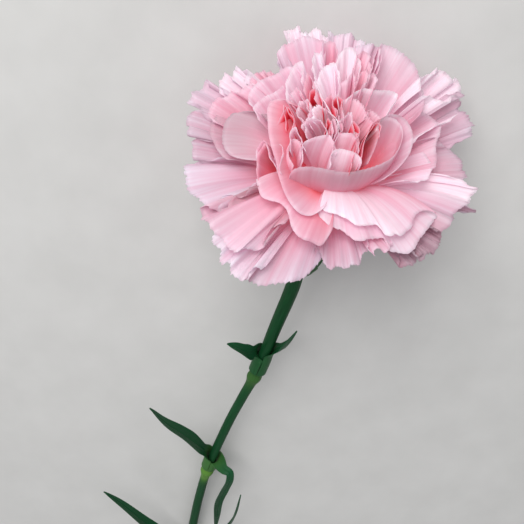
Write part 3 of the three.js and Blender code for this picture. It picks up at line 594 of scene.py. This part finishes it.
def add_petal(build, look, margin, seed):
    """Sweeps a petal from its foot to a margin that runs through the given points."""
    u = np.linspace(-1, 1, PETAL_COLUMNS)
    v = np.linspace(0, 1, PETAL_ROWS) ** 0.85
    margin = catmull(margin, PETAL_COLUMNS)
    flat = margin - MOUTH
    flat = flat - (flat @ AXIS)[:, None] * AXIS
    outward = unit(flat.mean(0))
    fan = unit(flat + 6 * outward)
    across = np.cross(AXIS, outward)
    if (margin[-1] - margin[0]) @ across < 0:
        across = -across
    foot = MOUTH - CLAW * AXIS + look["foot"] * outward + CLAW_HALF_WIDTH * u[:, None] * across
    length = np.linalg.norm(margin - foot, axis=1, keepdims=True)
    slim = (1 - look["narrow"] * u ** 2)[:, None]
    lean, tilt = math.radians(look["lean"]) * slim, math.radians(look["tilt"]) * slim
    start = np.cos(lean) * AXIS + np.sin(lean) * unit(outward + fan)
    end = np.cos(tilt) * AXIS + np.sin(tilt) * fan
    tooth = np.zeros_like(u)
    for k, (count, share) in enumerate(TEETH):
        x = u * count + chance(seed, 20 + k) * 7
        tooth += share * 2 * np.abs(x - np.floor(x + 0.5))
    margin = margin - (look["teeth"] * TEETH_REACH * tooth)[:, None] * end
    b = v[None, :, None]
    p0, p3 = foot[:, None], margin[:, None]
    p1 = p0 + (look["hold"] * length * start)[:, None]
    p2 = p3 - (look["ease"] * length * end)[:, None]
    grid = (1 - b) ** 3 * p0 + 3 * (1 - b) ** 2 * b * p1 + 3 * (1 - b) * b ** 2 * p2 + b ** 3 * p3
    normal = sheet_normal(grid)
    if (normal @ (AXIS - 0.5 * outward)).mean() < 0:
        normal = -normal
    U, V = np.meshgrid(u, v, indexing="ij")
    grid = grid + ruffles(look, seed, U, V)[..., None] * normal
    z = grid[..., 2]
    low = REST_ZONE * np.exp((z - REST_ZONE) / REST_ZONE)
    grid[..., 2] = REST_GAP + np.where(z < REST_ZONE, low, z)
    along = (U + 1) / 2
    build.add_sheet(
        grid, mix(PETAL_MIDDLE, PETAL_EDGE, smooth(V * 1.3 - 0.3)),
        fan=np.stack([U, V, np.full_like(U, seed)], -1),
        reach=np.clip((V - look["deep"]) / (1 - look["deep"]), 0, 1),
        tone=over(look["tone"], along),
        dusk=over(look["dusk"], along) * smooth((V - 0.6) / 0.35),
        lilac=np.full_like(U, look["lilac"]))


def make_petals(material):
    guard = drawn(GUARD)
    rings = {"guard": guard, "second": drawn(SECOND), "third": drawn(THIRD), "inner": drawn(INNER),
             "heart": drawn(HEART) + core_petals(), "back": back_petals(guard)}
    pieces = []
    for index, (ring, petals) in enumerate(rings.items()):
        build = Build()
        for k, (look, margin) in enumerate(petals):
            add_petal(build, {**PLAIN, **RINGS[ring], **look}, margin, 100 + 40 * index + k)
        pieces.append(build.piece(f"petals_{ring}", material, "bloom", "petal_pink"))
    return pieces


# ---- calyx ----
CALYX_LENGTH = 30.0
CALYX_WALL = 0.8
CALYX_RIM = 0.35            # thickness at the tips of the teeth
CALYX_FLOOR = -25.0         # height of the bottom inside
CALYX_OUTSIDE = np.array([[2.3, -30], [4, -28.5], [5.2, -25], [6, -18], [6.6, -10], [7, -4],
                          [7.4, 1.2]])
CALYX_SIDES = 200
TOOTH_COUNT = 5
TOOTH_TOP = 1.2
TOOTH_DEPTH = 5.5
BRACTS = (7.0, 8.0, 7.0, 8.0)     # lengths of the two pairs that clasp the foot


def calyx_radius(height):
    return np.interp(height, CALYX_OUTSIDE[:, 1], CALYX_OUTSIDE[:, 0])


def make_calyx(material):
    # The notches between the teeth lie where the solid's do.
    to_axis = Vector((0, 1, 0)).rotation_difference(Vector(AXIS))
    first = np.array(to_axis @ Vector((0, 0, 1)))
    second = np.array(to_axis @ Vector((1, 0, 0)))
    notch = FULL_TURN * np.arange(TOOTH_COUNT)[:, None] / TOOTH_COUNT
    notch = np.cos(notch) * first + np.sin(notch) * second
    notch = np.arctan2(notch @ DOWN, notch @ SIDE)[:, None]
    turns = np.linspace(0, FULL_TURN, CALYX_SIDES, endpoint=False)
    gap = np.abs((turns - notch + math.pi) % FULL_TURN - math.pi).min(0)
    from_notch = gap / (math.pi / TOOTH_COUNT)          # 0 in a notch, 1 at a tooth's tip
    top = TOOTH_TOP - TOOTH_DEPTH * (1 - from_notch) ** 1.15
    s = np.linspace(0, 1, 60)[:, None]
    height = mix(-CALYX_LENGTH, top, s)
    rib = 0.07 * np.cos(turns * 35) * smooth(s * 4) + 0.1 * np.cos(turns * 5) * s
    outside = on_axis(calyx_radius(height) + rib, turns, height)
    t = np.linspace(1, 0, 24)[:, None]
    height = mix(CALYX_FLOOR, top, t)
    wall = mix(CALYX_WALL, CALYX_RIM, smooth((t - 0.6) / 0.4))
    inside = on_axis(np.maximum(calyx_radius(height) - wall, 0.5), turns, height)
    rings = np.concatenate([outside, inside])
    fan = np.stack(np.broadcast_arrays(turns / FULL_TURN, np.concatenate([s, t]), from_notch), -1)
    ends = [on_axis(0, 0, h) for h in (CALYX_FLOOR, -CALYX_LENGTH)]
    faces = [face[::-1] for face in tube_faces(len(rings), CALYX_SIDES)]
    build = Build()
    build.add(np.concatenate([rings.reshape(-1, 3), ends]), faces,
              fan=np.concatenate([fan.reshape(-1, 3), np.zeros((2, 3))]))
    U, V = np.meshgrid(np.linspace(-1, 1, 28), np.linspace(0, 1, 30), indexing="ij")
    for k, length in enumerate(BRACTS):
        height = -CALYX_LENGTH + 0.6 + length * V
        radius = calyx_radius(height) + 0.2 + 0.3 * V + 0.25 * V ** 4 * (1 - U ** 2)
        turn = math.radians(20 + 90 * k) + U * 0.75 * (1 - V ** 2.2 * 0.97)
        build.add_sheet(on_axis(radius, turn, height), mix(0.6, 0.25, V),
                        fan=np.stack([U, V * 0.5, np.full_like(U, 0.6)], -1))
    return build.piece("calyx_cup", material, "calyx", "calyx_green")


# ---- stem ----
CALYX_FOOT = MOUTH - AXIS * (CALYX_LENGTH + 0.4)
STEM_LINE = catmull([CALYX_FOOT] + [np.array(q) + SHIFT for q in (
    (-35.7, -4.1, 13.2), (-51.6, -4.2, 12), (-74.3, -4.3, 10.2), (-86.6, -3.3, 9.3),
    (-100, -2.3, 8.4), (-128.3, -1.7, 6.6), (-145.7, -2.7, 5.5), (-164.1, -4.6, 4.4),
    (-187.6, -7.4, 3.2), (-212, -9.6, 2.35), (-236, -11.4, 1.85))], 440)
STEM_END = STEM_LINE[-1] + [2.6, 0, 0]
STEM_SIDES = 48
CUT = unit([0.82, 0.1, 0.56])     # faces into the stem from its slanting cut
JOINT_X = [x + SHIFT[0] for x in (-75.3, -129.3, -188.6)]
JOINT_SWELL = [0.75, 0.85, 0.8]
JOINT_SPREAD = 2.2
JOINT_TENDER = [0.4, 2.2, 0.9]    # how much paler each joint is
TENDER_SPREAD = 4.2


def stem_radius(x):
    travel = (CALYX_FOOT[0] - x) / 210
    radius = mix(2.15, 1.6, smooth(travel / 0.3)) + 0.2 * smooth((travel - 0.35) / 0.5)
    for at, swell in zip(JOINT_X, JOINT_SWELL):
        radius = radius + swell * np.exp(-((x - at) / JOINT_SPREAD) ** 2)
    return radius


def make_stem(material):
    tangent, side, normal = frames(STEM_LINE, np.array([0.0, 1.0, 0.0]))
    turns = np.linspace(0, FULL_TURN, STEM_SIDES, endpoint=False)
    ridge = 1 + 0.018 * np.cos(6 * turns) + 0.01 * np.cos(11 * turns + 1)
    radius = stem_radius(STEM_LINE[:, 0])[:, None] * ridge
    ring = np.cos(turns)[:, None] * side[:, None] + np.sin(turns)[:, None] * normal[:, None]
    shell = STEM_LINE[:, None] + ring * radius[..., None]
    # Points beyond the cut slide back to it along the stem.
    beyond = (shell - STEM_END) @ CUT
    slide = np.minimum(beyond, 0) / (tangent @ CUT)[:, None]
    shell = shell - tangent[:, None] * slide[..., None]
    keep = int(np.argmax(np.all(beyond < 0, axis=1))) + 1
    shell = shell[:keep]
    tender = sum(tender * np.exp(-((STEM_LINE[:keep, 0] - at) / TENDER_SPREAD) ** 2)
                 for at, tender in zip(JOINT_X, JOINT_TENDER))
    run = np.linspace(0, 1, keep)
    fans = list(np.stack(np.broadcast_arrays(turns / FULL_TURN, run[:, None], tender[:, None]), -1))
    # The cut has a rounded rim and a slightly raised pith.
    rings = list(shell)
    middle = shell[-1].mean(0)
    for scale, lift in ((0.93, -0.06), (0.8, 0.05), (0.45, 0.16)):
        rings.append(middle + (shell[-1] - middle) * scale + CUT * lift)
        fans.append(np.tile([0, 2.0 - scale, 0.0], (STEM_SIDES, 1)))
    verts = np.concatenate(rings + [[middle + CUT * 0.2, shell[0].mean(0)]])
    build = Build()
    build.add(verts, tube_faces(len(rings), STEM_SIDES),
              fan=np.concatenate(fans + [[[0, 2, 0], [0, 0, 0]]]))
    return build.piece("stem_round", material, "stem", "stem_green")


# ---- leaves ----
LEAF_COLUMNS = 28
LEAF_ROWS = 120
SHEATH_CLEARANCE = 0.8      # from the stem's skin to the middle of a sheath
SHEATH_REACH = math.radians(85)
LEAVES = {     # joint, turn round the stem, sheath, width, waist, twist, channel, points
    "leaf_upper_left": (0, -4, 8, 2.7, 0.3, -30, 5, (
        (-61.6, 2.2, 15.8), (-59.3, 5.9, 17.4), (-58.2, 9.2, 18))),
    "leaf_upper_right": (0, 171, 10, 2.5, 0.5, 30, 4, (
        (-57.2, -8.4, 14.6), (-52.6, -8.9, 16.4), (-47.6, -9, 18))),
    "leaf_middle_left": (1, -4, 6, 3.4, 0.5, -25, 6, (
        (-110.6, 6.6, 12), (-103.3, 13.2, 15), (-97.6, 19.9, 17), (-91.3, 26, 18))),
    "leaf_middle_right": (1, 170, 5, 1.9, 0.6, 0, 5, (
        (-120.4, -6.2, 12), (-120.2, -8.2, 13.2), (-123.4, -9.2, 13.6), (-131.6, -9.4, 12),
        (-142.2, -9.8, 9.7), (-154.8, -12.2, 7), (-168, -14.8, 4))),
    "leaf_lower_left": (2, -4, 6, 2.8, 0.6, -20, 6, (
        (-175, 0.6, 8), (-163.3, 13.2, 11), (-149.8, 26.3, 13), (-143.2, 33.6, 14))),
    "leaf_lower_right": (2, 171, 6, 2.6, 0.6, 15, 6, (
        (-174, -12.4, 7.5), (-159.9, -15.6, 11.5), (-141.7, -16.4, 14.5), (-127.5, -14.6, 16))),
}


def on_stem(x):
    """Point of the stem's middle line nearest to that X."""
    return STEM_LINE[np.argmin(np.abs(STEM_LINE[:, 0] - x))]


def make_leaf(name, material):
    joint, turn, sheath, width, waist, twist, channel, through = LEAVES[name]
    foot = JOINT_X[joint] + 3
    forward = unit(on_stem(foot + sheath) - on_stem(foot))
    level = unit(np.cross([0, 0, 1], forward))
    rise = np.cross(forward, level)
    away = math.cos(math.radians(turn)) * level + math.sin(math.radians(turn)) * rise
    clasp = stem_radius(on_stem(foot)[0]) + SHEATH_CLEARANCE
    start = [on_stem(foot + s) + away * clasp for s in (0, sheath / 2, sheath)]
    line = catmull(start + [np.array(q) + SHIFT for q in through], LEAF_ROWS)
    sheathed = sheath / np.linalg.norm(np.diff(line, axis=0), axis=1).sum()
    _, across, normal = frames(line, np.cross(forward, away))
    u = np.linspace(-1, 1, LEAF_COLUMNS)[:, None]
    v = np.linspace(0, 1, LEAF_ROWS)[None]
    t = np.clip((v - sheathed) / (1 - sheathed), 0, 1)     # 0 to 1 along the free blade
    spread = smooth((v - sheathed * 0.8) / (0.12 + sheathed * 0.3))
    blade = width * (waist + (1 - waist) * smooth(t / 0.45)) * (1 - t ** 3) ** 0.8 + 0.12
    half = mix(clasp * SHEATH_REACH, blade, spread)
    bow = mix(clasp, channel, spread)
    roll = math.radians(twist) * smooth(t * 1.4)[0][:, None]
    sideways = across * np.cos(roll) + normal * np.sin(roll)
    inward = -normal * np.cos(roll) + across * np.sin(roll)
    keel = 0.35 * np.exp(-(u / 0.16) ** 2) * spread
    grid = (line + (bow * np.sin(u * half / bow))[..., None] * sideways
            + (bow * (1 - np.cos(u * half / bow)) - keel * 0.6)[..., None] * inward)
    fan = np.stack(np.broadcast_arrays(u, v, (1 - spread) * JOINT_TENDER[joint]), -1)
    build = Build()
    build.add_sheet(grid, mix(0.6, 0.25, u ** 2) * (1 - 0.5 * t), fan=fan)
    return build.piece(name.replace("leaf", "blade"), material, name, "leaf_green")


# ---- materials ----
BLACK, WHITE = (0, 0, 0), (1, 1, 1)
CLAW_TINT = (0.74, 0.50, 0.42)      # the narrow foot of a petal
# painted shade laid over the margins of petals that lie in shade
PAINTED_SHADE_TINT = (0.50, 0.32, 0.38)


class Nodes:
    """Builds a node material."""

    def __init__(self, name):
        self.material = bpy.data.materials.new(name)
        self.material.use_nodes = True
        self.tree = self.material.node_tree
        self.tree.nodes.clear()

    def node(self, kind, inputs=None, **settings):
        """Adds a node; an input is linked to another node's output, or set to a value."""
        made = self.tree.nodes.new("ShaderNode" + kind)
        for key, value in settings.items():
            setattr(made, key, value)
        for key, value in (inputs or {}).items():
            if isinstance(value, bpy.types.NodeSocket):
                self.tree.links.new(value, made.inputs[key])
            else:
                made.inputs[key].default_value = (*value, 1) if isinstance(value, tuple) else value
        return made

    def value(self, kind, inputs=None, **settings):
        """Adds a node for its first output."""
        return self.node(kind, inputs, **settings).outputs[0]

    def math(self, operation, a, b, clamp=False):
        return self.value("Math", {0: a, 1: b}, operation=operation, use_clamp=clamp)

    def times(self, a, b, clamp=False):
        return self.math("MULTIPLY", a, b, clamp)

    def mix(self, factor, a, b, blend="MIX"):
        return self.value("MixRGB", {0: factor, 1: a, 2: b}, blend_type=blend)

    def ramp(self, factor, *stops):
        """Colour that follows a factor through stops of a place and a colour."""
        made = self.node("ValToRGB", {0: factor})
        elements = made.color_ramp.elements
        while len(elements) < len(stops):
            elements.new(0.5)
        for element, (position, colour) in zip(elements, stops):
            element.position = position
            element.color = (*colour, 1)
        return made.outputs[0]

    def field(self, name, output="Fac"):
        """A number or a vector kept on the mesh."""
        return self.node("Attribute", attribute_name=name).outputs[output]

    def fan(self):
        """The surface's own coordinates as three outputs."""
        return self.node("SeparateXYZ", {0: self.field("fan", "Vector")}).outputs

    def noise(self, vector, scale, detail, rough=0.5):
        return self.value("TexNoise", {"Vector": vector, "Scale": scale, "Detail": detail,
                                       "Roughness": rough})

    def stretched(self, values, scale):
        """Three values, scaled, as a texture vector."""
        scaled = [self.times(a, b) for a, b in zip(values, scale)]
        return self.value("CombineXYZ", dict(enumerate(scaled)))

    def bump(self, height, strength, distance):
        return self.value("Bump", {"Height": height, "Strength": strength, "Distance": distance})

    def finish(self, shader):
        self.node("OutputMaterial", {0: shader})
        return self.material


def petal_material():
    m = Nodes("petal_pink")
    u, v, seed = m.fan()
    reach, tone, dusk, lilac = (m.field(name) for name in ("reach", "tone", "dusk", "lilac"))
    coral = m.ramp(reach, (0.4, (0.82, 0.06, 0.11)), (0.7, (0.93, 0.21, 0.28)),
                   (0.86, (0.96, 0.42, 0.51)), (1.0, (0.97, 0.66, 0.76)))
    cool = m.ramp(reach, (0.08, CLAW_TINT), (0.25, (0.94, 0.25, 0.29)), (0.42, (0.90, 0.42, 0.50)),
                  (0.72, (0.87, 0.66, 0.77)), (1.0, (0.90, 0.87, 0.95)))
    warm = m.ramp(reach, (0.08, CLAW_TINT), (0.25, (0.97, 0.26, 0.30)), (0.42, (0.97, 0.46, 0.54)),
                  (0.72, (0.97, 0.68, 0.79)), (1.0, (0.97, 0.84, 0.92)))
    white = m.ramp(reach, (0.3, (0.97, 0.45, 0.53)), (0.6, (0.98, 0.76, 0.85)),
                   (1.0, (0.98, 0.93, 0.98)))
    # Coral in places paints the shade between and under petals, and white in places paints highlights.
    colour = m.mix(m.times(tone, 1.5, clamp=True), m.mix(lilac, warm, cool), coral)
    whiten = m.times(tone, -5.0, clamp=True)
    colour = m.mix(whiten, colour, white)
    # Painted shade towards the margin, where a petal lies in shade.
    colour = m.mix(dusk, colour, PAINTED_SHADE_TINT)
    # Pinker stripes along the fan: the petal's uneven colour, with painted shade of its pleats.
    bands = m.noise(m.stretched((u, v, seed), (5, 0.5, 5.3)), 1.0, 2.0)
    band = m.ramp(bands, (0.33, (0.97, 0.76, 0.82)), (0.62, WHITE))
    banded = m.math("SUBTRACT", 0.8, m.times(whiten, 0.6))
    colour = m.mix(banded, colour, band, "MULTIPLY")
    veins = m.noise(m.stretched((u, v, seed), (22, 1.6, 3.7)), 1.0, 3.0, 0.6)
    veined = m.times(v, v)     # veins fade towards the foot
    streak = m.ramp(veins, (0.3, (0.93, 0.78, 0.83)), (0.62, WHITE))
    colour = m.mix(m.times(veined, 0.75), colour, streak, "MULTIPLY")
    # Painted glow, standing in for light that has passed through other petals: most in the middle of the
    # blade, and raised on white petals as a painted highlight.
    deep = m.ramp(reach, (0.1, (0.1, 0.1, 0.1)), (0.36, WHITE), (0.9, (0.1, 0.1, 0.1)))
    deep = m.mix(m.times(tone, -3.0, clamp=True), deep, (0.6, 0.6, 0.6))
    shader = m.value("BsdfPrincipled", {
        "Base Color": colour, "Roughness": 0.55, "Emission Strength": 0.21,
        "Emission Color": m.mix(1.0, colour, deep, "MULTIPLY"),
        "Normal": m.bump(m.times(veins, veined), 0.2, 0.0001)})
    through = m.value("BsdfTranslucent", {"Color": colour})
    return m.finish(m.value("MixShader", {0: 0.5, 1: shader, 2: through}))


def green_material(name, dark, light, tender, stretch, rough, tint):
    """Waxy green with fine lengthwise lines; the third fan value brings the tender tint."""
    m = Nodes(name)
    fan = m.fan()
    place = m.node("TexCoord").outputs["Object"]
    lines = m.noise(m.stretched(fan, stretch), 1.0, 3.0, 0.55)
    cloud = m.noise(place, 90.0, 3.0)
    wax = m.noise(place, 420.0, 4.0, 0.65)
    colour = m.mix(m.ramp(lines, (0.3, BLACK), (0.7, WHITE)), dark, light)
    colour = m.mix(m.times(cloud, 0.16), colour, (0.02, 0.14, 0.07))
    colour = m.mix(m.times(fan[2], tint, clamp=True), colour, tender)
    colour = m.mix(m.times(wax, 0.06), colour, (0.10, 0.25, 0.16))
    gloss = m.ramp(wax, (0.3, (rough - 0.1,) * 3), (0.7, (rough + 0.1,) * 3))
    return m.finish(m.value("BsdfPrincipled", {
        "Base Color": colour, "Roughness": gloss, "Specular IOR Level": 0.15,
        "Normal": m.bump(lines, 0.4, 0.0003)}))


# ---- surface ----
FLOOR_HALF = 1500.0


def make_floor():
    m = Nodes("pale_surface")
    grain = m.noise(m.node("TexCoord").outputs["Object"], 60.0, 4.0)
    pale = m.ramp(grain, (0.3, (0.56, 0.56, 0.55)), (0.7, (0.60, 0.60, 0.59)))
    corners = FLOOR_HALF * np.array([(-1, -1, 0), (1, -1, 0), (1, 1, 0), (-1, 1, 0)])
    floor = add_mesh("surface", corners, [(0, 1, 2, 3)], {},
                     m.finish(m.value("BsdfPrincipled", {"Base Color": pale, "Roughness": 0.8})))


# ---- assembly ----
make_camera()
make_light()
make_floor()
petal_pink = petal_material()
calyx_green = green_material("calyx_green", (0.003, 0.03, 0.008), (0.010, 0.06, 0.016),
                             (0.04, 0.12, 0.03), (140, 5, 0), 0.5, 0.85)
stem_green = green_material("stem_green", (0.0003, 0.024, 0.004), (0.001, 0.055, 0.010),
                            (0.09, 0.22, 0.03), (60, 30, 0), 0.5, 0.8)
leaf_green = green_material("leaf_green", (0.0005, 0.032, 0.008), (0.004, 0.075, 0.02),
                            (0.05, 0.15, 0.03), (14, 4, 0), 0.45, 0.35)
pieces = make_petals(petal_pink) + [make_calyx(calyx_green), make_stem(stem_green)]
pieces += [make_leaf(name, leaf_green) for name in LEAVES]
for piece in pieces:
    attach(piece, "root")
